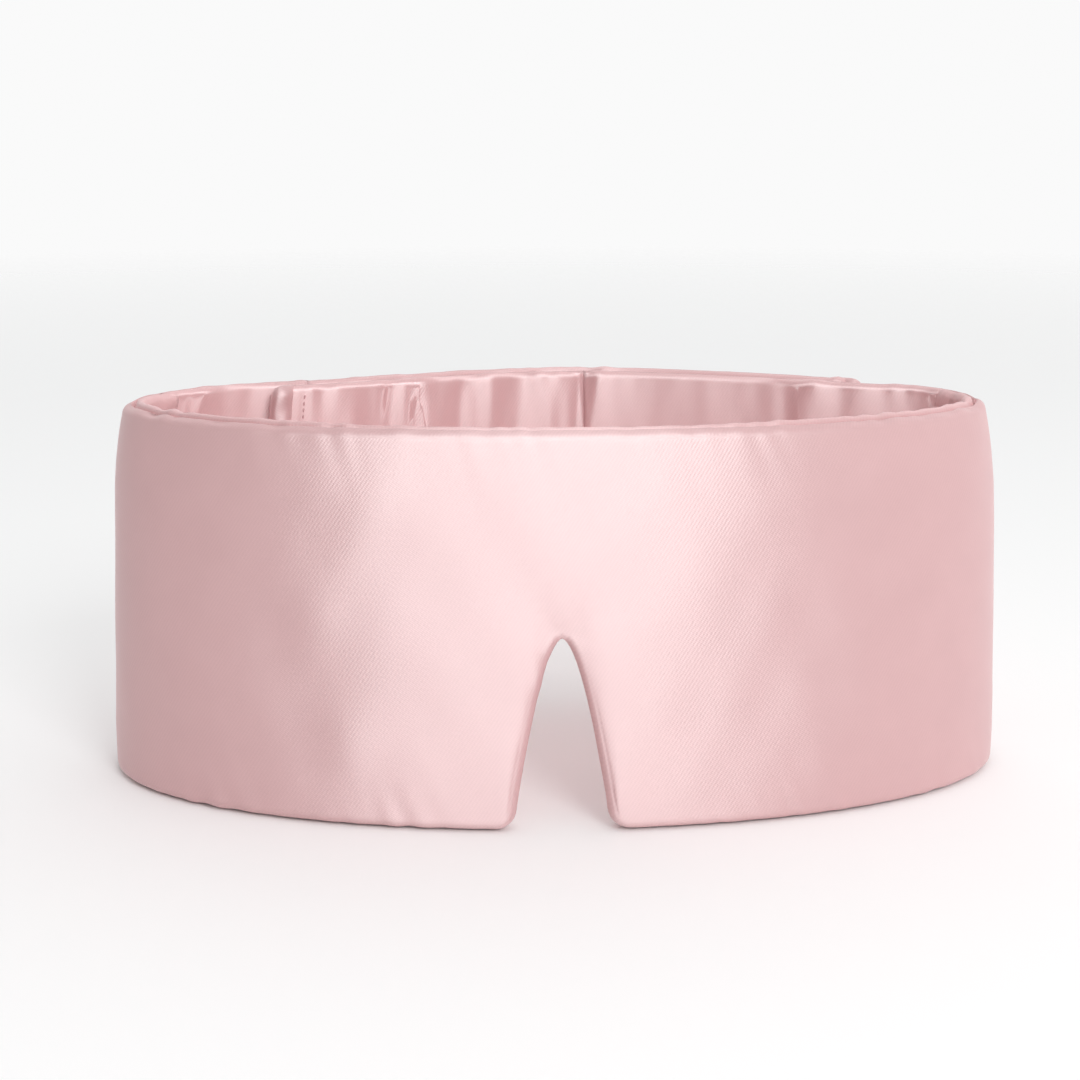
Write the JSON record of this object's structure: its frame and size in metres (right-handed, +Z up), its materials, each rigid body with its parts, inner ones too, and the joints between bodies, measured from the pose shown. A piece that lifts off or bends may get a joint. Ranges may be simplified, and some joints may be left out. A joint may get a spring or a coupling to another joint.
{
  "type": "sleep eye mask",
  "caption": "Padded satin sleep mask with a nose notch, full-height sides and two wide straps that overlap and close at the back with hook and loop.",
  "frame": {"origin": "middle of the loop seen from above, on the surface the bottom rim stands on", "axes": "+X to the right seen from the front, -Y the way the mask's front faces, +Z up"},
  "size_m": [0.2376, 0.104, 0.1],
  "materials": {
    "satin": "blush-pink satin weave with a soft broad sheen",
    "satin_lining": "the same satin on the face side, a little duller",
    "wadding": "white fibre wadding",
    "blackout_cloth": "matt black interlining",
    "hook_tape": "woven tape with fine plastic hooks",
    "loop_tape": "brushed loop pile",
    "elastic": "ribbed white elastic",
    "thread": "matching sewing thread"
  },
  "bodies": {
    "mask": {"front_shell": "satin", "front_lining": "satin_lining", "front_padding": "wadding", "blackout_layer": "blackout_cloth", "side_elastic": "elastic"},
    "outer_strap": {"outer_strap_shell": "satin", "outer_strap_lining": "satin_lining", "outer_strap_padding": "wadding"},
    "outer_strap_end": {"outer_strap_end_shell": "satin", "outer_strap_end_lining": "satin_lining", "outer_strap_end_padding": "wadding", "outer_strap_end_hem": "satin", "outer_strap_end_topstitch": "thread", "hook_tape": "hook_tape"},
    "inner_strap": {"inner_strap_shell": "satin", "inner_strap_lining": "satin_lining", "inner_strap_padding": "wadding", "loop_tape": "loop_tape"},
    "inner_strap_end": {"inner_strap_end_shell": "satin", "inner_strap_end_lining": "satin_lining", "inner_strap_end_padding": "wadding", "inner_strap_end_hem": "satin", "inner_strap_end_topstitch": "thread"}
  },
  "joints": [
    {"name": "outer_strap_swing", "type": "hinge", "parent": "mask", "child": "outer_strap", "pos_m": [-0.11034, 0.01261, 0.05], "axis": [0, 0, 1], "range_deg": [0, 100]},
    {"name": "outer_strap_end_peel", "type": "hinge", "parent": "outer_strap", "child": "outer_strap_end", "pos_m": [0.008, 0.05203, 0.05], "axis": [0, 0, 1], "range_deg": [0, 90]},
    {"name": "inner_strap_swing", "type": "hinge", "parent": "mask", "child": "inner_strap", "pos_m": [0.10735, 0.00911, 0.05], "axis": [0, 0, 1], "range_deg": [0, 8]},
    {"name": "inner_strap_end_fold", "type": "hinge", "parent": "inner_strap", "child": "inner_strap_end", "pos_m": [-0.03046, 0.03206, 0.05], "axis": [0, 0, 1], "range_deg": [0, 60]}
  ]
}
